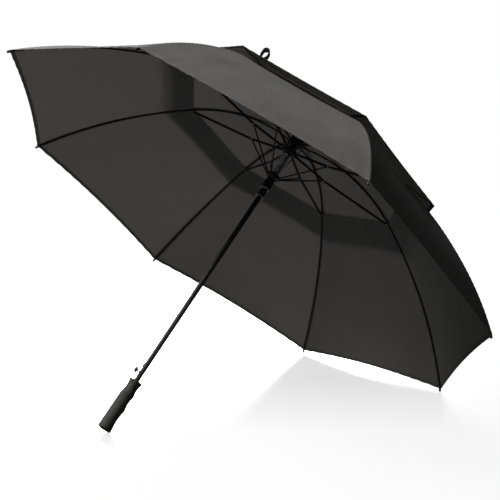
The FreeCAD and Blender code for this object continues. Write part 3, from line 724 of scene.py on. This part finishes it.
thread_tree, given, out = new_tree("stitches", [
    ("Pitch", "NodeSocketFloat", 0.003), ("Stitch", "NodeSocketFloat", 0.002),
    ("Thread", "NodeSocketFloat", 0.0003), ("Finish", "NodeSocketMaterial", None)])
spaced = thread_tree.nodes.new("GeometryNodeResampleCurve")
spaced.mode = "LENGTH"
stitch = add(thread_tree, "GeometryNodeMeshCylinder", Vertices=6)
lay = thread_tree.nodes.new("FunctionNodeAlignRotationToVector")
lay.axis = "Z"
tangent = thread_tree.nodes.new("GeometryNodeInputTangent")
scatter = thread_tree.nodes.new("GeometryNodeInstanceOnPoints")
realise = thread_tree.nodes.new("GeometryNodeRealizeInstances")
soft = thread_tree.nodes.new("GeometryNodeSetShadeSmooth")
paint = thread_tree.nodes.new("GeometryNodeSetMaterial")
join(
    thread_tree,
    (given.outputs["Geometry"], spaced.inputs["Curve"]), (given.outputs["Pitch"], spaced.inputs["Length"]),
    (given.outputs["Thread"], stitch.inputs["Radius"]), (given.outputs["Stitch"], stitch.inputs["Depth"]),
    (tangent.outputs["Tangent"], lay.inputs["Vector"]), (lay.outputs["Rotation"], scatter.inputs["Rotation"]),
    (spaced.outputs["Curve"], scatter.inputs["Points"]), (stitch.outputs["Mesh"], scatter.inputs["Instance"]),
    (scatter.outputs["Instances"], realise.inputs["Geometry"]),
    (realise.outputs["Geometry"], soft.inputs["Geometry"]),
    (soft.outputs["Geometry"], paint.inputs["Geometry"]), (given.outputs["Finish"], paint.inputs["Material"]),
    (paint.outputs["Geometry"], out.inputs["Geometry"]))
thread_black = enamel("sewing_thread", (0.030, 0.030, 0.030), (0.050, 0.049, 0.048), dull=(0.6, 0.8))
pitch = 0.0030
stitch_length = 0.0021
thread_radius = 0.0002
stitch_lift = 0.0003
seam_row = seam_fold * 0.8


def sewn(name, rows):
    """Rows of stitches along these lines of points."""
    curve = bpy.data.curves.new(name + "_rows", "CURVE")
    curve.dimensions = "3D"
    for points in rows:
        spline = curve.splines.new("POLY")
        spline.points.add(len(points) - 1)
        for point, end in zip(points, spline.points):
            end.co = (*point, 1.0)
    return grown(name, curve, thread_tree, {
        "Pitch": pitch, "Stitch": stitch_length, "Thread": thread_radius, "Finish": thread_black})


def hem_row(grid, depths, shares, along):
    """A line across the outer face of a cloth grid at one depth."""
    wide = len(shares)
    row = min(range(len(depths)), key=lambda index: abs(depths[index] - along))
    return [grid[row * wide + column] + crown_up * stitch_lift for column in range(wide)]


def seam_rows(grid, depths, shares):
    """Two lines along the outer face of a cloth grid, one on each side of the seam over its rib."""
    wide = len(shares)
    beside = 3
    rows = []
    for column in (beside, -beside):
        points = []
        for row in range(len(depths)):
            start = grid[row * wide + wide // 2]
            reach = grid[row * wide + wide // 2 + column] - start
            points.append(start + reach.normalized() * seam_row + crown_up * stitch_lift)
        rows.append(points)
    return rows


def length_of(line):
    """The length of a line of points."""
    return sum((last - first).length for first, last in zip(line, line[1:]))


folded_skirt = 0.17
folded_cap = 0.42
for rib in range(rib_count):
    body = f"rib_{rib + 1}"
    line = lower_line(line_steps)
    length = length_of(line)
    skirt, grid, depths, shares = cloth(
        f"lower_canopy_{rib + 1}", rib, line, length, bow=hem_bow, sag=gore_sag, strength=1.0,
        rows=84, columns=26, fold_start=hem_fold, fold_end=hem_fold)
    skirt_thread = sewn(f"lower_stitches_{rib + 1}", [
        hem_row(grid, depths, shares, 1 - hem_fold / length),
        hem_row(grid, depths, shares, hem_fold / length), *seam_rows(grid, depths, shares)])
    line = upper_line(crown_seam, vent_hem, line_steps)
    cap_length = length_of(line)
    cap, grid, depths, shares = cloth(
        f"upper_canopy_{rib + 1}", rib, line, cap_length, bow=vent_bow, sag=0.0, strength=0.6,
        rows=70, columns=20, fold_start=0.0, fold_end=hem_fold)
    cap_thread = sewn(f"upper_stitches_{rib + 1}", [
        hem_row(grid, depths, shares, 1 - hem_fold / cap_length), *seam_rows(grid, depths, shares)])
    line = upper_line(crown_start.x, crown_seam, rows=8)
    crown, grid, depths, shares = cloth(
        f"crown_cloth_{rib + 1}", rib, line, length_of(line), bow=0.0, sag=0.0, strength=0.0,
        rows=12, columns=6, fold_start=0.0, fold_end=0.0)
    for piece in (skirt, cap, crown):
        piece.data.materials.append(pongee_cloth)
    for piece, keep in (
            (skirt, folded_skirt), (skirt_thread, folded_skirt), (cap, folded_cap), (cap_thread, folded_cap)):
        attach(piece, body)
        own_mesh(piece)
    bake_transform(crown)
    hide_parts(f"canopy_{rib + 1}")

# ---- closing strap ----
# A ribbon of the same cloth, doubled and sewn, 18 mm wide. It stands in a loop on the outer canopy near
# the vent's hem. The hook-and-loop patch on its end, which closes it round the folded umbrella, is not built.
strap_rib = 6
strap_aside = 0.15
strap_back = 0.028
strap_width = 0.018
strap_height = 0.0245
strap_bend = 0.0078
strap_thick = 0.0012
strap_off_cloth = 0.0010
strap_rooting = 0.012
strap_cuts = 8
strap_sheets = 2.4
hem_place = upper_line(crown_seam, vent_hem, line_steps)[-1]
flat_share = math.cos(half_gore)
strap_slope = math.atan(math.tan(vent_slope) / flat_share)
middle_out = (outward[strap_rib] + outward[(strap_rib + 1) % rib_count]).normalized()
middle_side = crown_up.cross(middle_out)
strap_seat = (notch + middle_out * (hem_place.x * flat_share - strap_back * math.cos(strap_slope))
              + crown_up * (hem_place.y + strap_back * math.sin(strap_slope))
              + middle_side * (2 * strap_aside - 1) * hem_place.x * math.sin(half_gore))
strap_normal = crown_up * math.cos(strap_slope) + middle_out * math.sin(strap_slope)
strap_foot = strap_seat + strap_normal * strap_off_cloth
ribbon_turn = math.radians(-6.0)
ribbon_wide = middle_out * math.cos(ribbon_turn) + middle_side * math.sin(ribbon_turn)
ribbon_span = middle_side * math.cos(ribbon_turn) - middle_out * math.sin(ribbon_turn)


def ribbon_loop(round_steps):
    """The middle line of the standing loop: up one side, round the top and down the other."""
    reach = strap_bend - strap_thick / 2
    rise = strap_height - strap_bend
    points = [(-reach * 0.62, 0.0), (-reach * 0.9, 0.006)]
    points += [(-reach, rise * share) for share in (0.35, 0.7)]
    for step in range(round_steps + 1):
        turned = math.pi * step / round_steps
        points.append((-reach * math.cos(turned), rise + reach * math.sin(turned)))
    points += [(reach * 1.05, rise * share) for share in (0.7, 0.35)]
    points += [(reach * 0.85, 0.005), (reach * 0.55, 0.0)]
    return points


ribbon_rows = ribbon_loop(round_steps=18)
ribbon_points, ribbon_faces = [], []
for index, (out_step, up_step) in enumerate(ribbon_rows):
    before = ribbon_rows[max(index - 1, 0)]
    after = ribbon_rows[min(index + 1, len(ribbon_rows) - 1)]
    run = Vector((after[0] - before[0], after[1] - before[1])).normalized()
    face_out = Vector((run.y, -run.x))
    for side in (1, -1):
        for cut in range(strap_cuts + 1):
            across_step = strap_width * (cut / strap_cuts - 0.5)
            thick = strap_thick / 2 * side
            drop = -across_step * math.sin(strap_slope) * max(0.0, 1 - up_step / strap_rooting)
            base = strap_foot + ribbon_span * (out_step + face_out.x * thick)
            ribbon_points.append(
                base + crown_up * (up_step + face_out.y * thick + drop) + ribbon_wide * across_step)
stride = 2 * (strap_cuts + 1)
section = list(range(strap_cuts + 1)) + list(range(stride - 1, strap_cuts, -1))
for row in range(len(ribbon_rows) - 1):
    here = row * stride
    for first, second in zip(section, section[1:] + section[:1]):
        ribbon_faces.append((here + second, here + first, here + stride + first, here + stride + second))
last_row = (len(ribbon_rows) - 1) * stride
ribbon_faces.append(tuple(section))
ribbon_faces.append(tuple(last_row + corner for corner in section[::-1]))
ribbon_mesh = bpy.data.meshes.new("strap_loop")
ribbon_mesh.from_pydata(ribbon_points, [], ribbon_faces)
uv = ribbon_mesh.uv_layers.new(name="cut")
row_apart = 0.005
for loop in ribbon_mesh.loops:
    row, ring = divmod(loop.vertex_index, stride)
    across = strap_width * (ring % (strap_cuts + 1)) / strap_cuts
    uv.data[loop.index].uv = (across, row_apart * row)
layers = ribbon_mesh.attributes.new("layers", "FLOAT", "POINT")
layers.data.foreach_set("value", [strap_sheets] * len(ribbon_points))
ribbon_mesh.polygons.foreach_set("use_smooth", [True] * len(ribbon_faces))
ribbon_mesh.update()
strap_loop = bpy.data.objects.new("strap_loop", ribbon_mesh)
bpy.context.scene.collection.objects.link(strap_loop)
strap_loop.data.materials.append(pongee_cloth)
edge_rows = []
for first in (0, strap_cuts + 1):
    for cut in (1, strap_cuts - 1):
        edge_rows.append(ribbon_points[first + cut::stride])
strap_thread = sewn("strap_stitches", edge_rows)
for piece in (strap_loop, strap_thread):
    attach(piece, f"rib_{strap_rib + 1}")
    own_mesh(piece)
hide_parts("closing_strap")

# ---- floor and light ----
# A white studio floor, whose faint mirror picture fades toward the viewer, in an even white room. One
# soft light stands high on the viewer's left and one behind the canopy. The floor glows faintly for all but
# camera rays, and strongly beside the two low tips: painted light that lights the cloth from under it.
floor_half = 12.0
floor_corners = [(x * floor_half, y * floor_half, 0.0) for x, y in ((-1, -1), (1, -1), (1, 1), (-1, 1))]
floor_mesh = bpy.data.meshes.new("floor")
floor_mesh.from_pydata(floor_corners, [], [(0, 1, 2, 3)])
floor = bpy.data.objects.new("floor", floor_mesh)
bpy.context.scene.collection.objects.link(floor)
floor_white, tree, shader = finish("floor_white", roughness=0.6)
shader.inputs["Base Color"].default_value = (0.05, 0.05, 0.05, 1.0)
shader.inputs["Specular IOR Level"].default_value = 0.0
place = tree.nodes.new("ShaderNodeTexCoord").outputs["Object"]
distance = add(tree, "ShaderNodeVectorMath", operation="LENGTH")
far_white = add(tree, "ShaderNodeMapRange", From_Min=1.0, From_Max=3.0, To_Min=0.9, To_Max=1.0)
path = tree.nodes.new("ShaderNodeLightPath")
share_lit = tree.nodes.new("ShaderNodeMapRange")
low_tips = (spot(1, rib_end.x, rib_end.y) + spot(2, rib_end.x, rib_end.y)) / 2
from_tips = add(tree, "ShaderNodeVectorMath", operation="DISTANCE")
from_tips.inputs[1].default_value = (low_tips.x, low_tips.y, 0.0)
# Painted light: the floor's emission for all but camera rays, 0.7 beside the two low tips and 0.06 further
# off.
tips_glow = add(tree, "ShaderNodeMapRange", From_Min=0.1, From_Max=0.5, To_Min=0.7, To_Max=0.06)
lit = add(tree, "ShaderNodeEmission", Color=(1.0, 1.0, 1.0, 1.0))
paper = tree.nodes.new("ShaderNodeAddShader")
mirror_share = 0.19
mirror = add(tree, "ShaderNodeBsdfGlossy", Color=(1.0, 1.0, 1.0, 1.0), Roughness=0.22)
polished = tree.nodes.new("ShaderNodeMixShader")
polish = add(tree, "ShaderNodeMath", operation="MULTIPLY")
polish.inputs[1].default_value = mirror_share
toward = -Vector((eye_ahead.x, eye_ahead.y, 0.0)).normalized()
fade = add(tree, "ShaderNodeMapRange", From_Min=-0.2, From_Max=0.22, To_Min=1.0, To_Max=0.0)
along = add(tree, "ShaderNodeVectorMath", operation="DOT_PRODUCT")
along.inputs[1].default_value = toward
grip_end = notch + crown_up * (grip_top - grip_length)
from_grip = add(tree, "ShaderNodeVectorMath", operation="DISTANCE")
from_grip.inputs[1].default_value = (grip_end.x, grip_end.y, 0.0)
grip_fade = add(tree, "ShaderNodeMapRange", From_Min=0.02, From_Max=0.12, To_Min=0.8, To_Max=0.0)
strongest = add(tree, "ShaderNodeMath", operation="MAXIMUM")
seen = add(tree, "ShaderNodeMath", operation="MULTIPLY")
join(
    tree,
    (place, distance.inputs[0]), (distance.outputs["Value"], far_white.inputs["Value"]),
    (far_white.outputs["Result"], share_lit.inputs["To Max"]),
    (path.outputs["Is Camera Ray"], share_lit.inputs["Value"]),
    (place, from_tips.inputs[0]), (from_tips.outputs["Value"], tips_glow.inputs["Value"]),
    (tips_glow.outputs["Result"], share_lit.inputs["To Min"]),
    (share_lit.outputs["Result"], lit.inputs["Strength"]),
    (place, along.inputs[0]), (along.outputs["Value"], fade.inputs["Value"]),
    (place, from_grip.inputs[0]), (from_grip.outputs["Value"], grip_fade.inputs["Value"]),
    (fade.outputs["Result"], strongest.inputs[0]), (grip_fade.outputs["Result"], strongest.inputs[1]),
    (strongest.outputs[0], polish.inputs[0]), (polish.outputs[0], seen.inputs[0]),
    (path.outputs["Is Camera Ray"], seen.inputs[1]), (seen.outputs[0], polished.inputs["Fac"]),
    (shader.outputs["BSDF"], paper.inputs[0]), (lit.outputs["Emission"], paper.inputs[1]),
    (paper.outputs["Shader"], polished.inputs[1]), (mirror.outputs["BSDF"], polished.inputs[2]),
    (polished.outputs["Shader"], tree.nodes["Material Output"].inputs["Surface"]))
floor_mesh.materials.append(floor_white)

room = bpy.data.worlds.new("room")
bpy.context.scene.world = room
room.use_nodes = True
tree = room.node_tree
ambient = tree.nodes["Background"]
ambient.inputs["Color"].default_value = (1.0, 1.0, 1.0, 1.0)
ambient.inputs["Strength"].default_value = 0.05
shown = add(tree, "ShaderNodeBackground", Color=(1.0, 1.0, 1.0, 1.0), Strength=1.0)
path = tree.nodes.new("ShaderNodeLightPath")
seen = add(tree, "ShaderNodeMath", operation="MAXIMUM")
mirrored = add(tree, "ShaderNodeMath", operation="MAXIMUM")
pick = tree.nodes.new("ShaderNodeMixShader")
join(
    tree,
    (path.outputs["Is Camera Ray"], seen.inputs[0]), (path.outputs["Is Glossy Ray"], seen.inputs[1]),
    (seen.outputs[0], mirrored.inputs[0]), (path.outputs["Is Transmission Ray"], mirrored.inputs[1]),
    (mirrored.outputs[0], pick.inputs["Fac"]), (ambient.outputs["Background"], pick.inputs[1]),
    (shown.outputs["Background"], pick.inputs[2]),
    (pick.outputs["Shader"], tree.nodes["World Output"].inputs["Surface"]))


def soft_light(name, place, aim, size, watts):
    """A square soft light that faces a point."""
    lamp = bpy.data.lights.new(name, "AREA")
    lamp.size = size
    lamp.energy = watts
    holder = bpy.data.objects.new(name, lamp)
    holder.location = place
    holder.rotation_euler = (aim - place).to_track_quat("-Z", "Y").to_euler()
    bpy.context.scene.collection.objects.link(holder)


light_far = 3.2
middle = (cad_box[0] + cad_box[1]) / 2
soft_light("key", middle + Vector((-0.30, -0.52, 0.80)) * light_far, middle, size=1.2, watts=265.0)
soft_light("back", middle + Vector((-0.75, 0.60, 0.28)) * light_far, middle, size=1.6, watts=300.0)
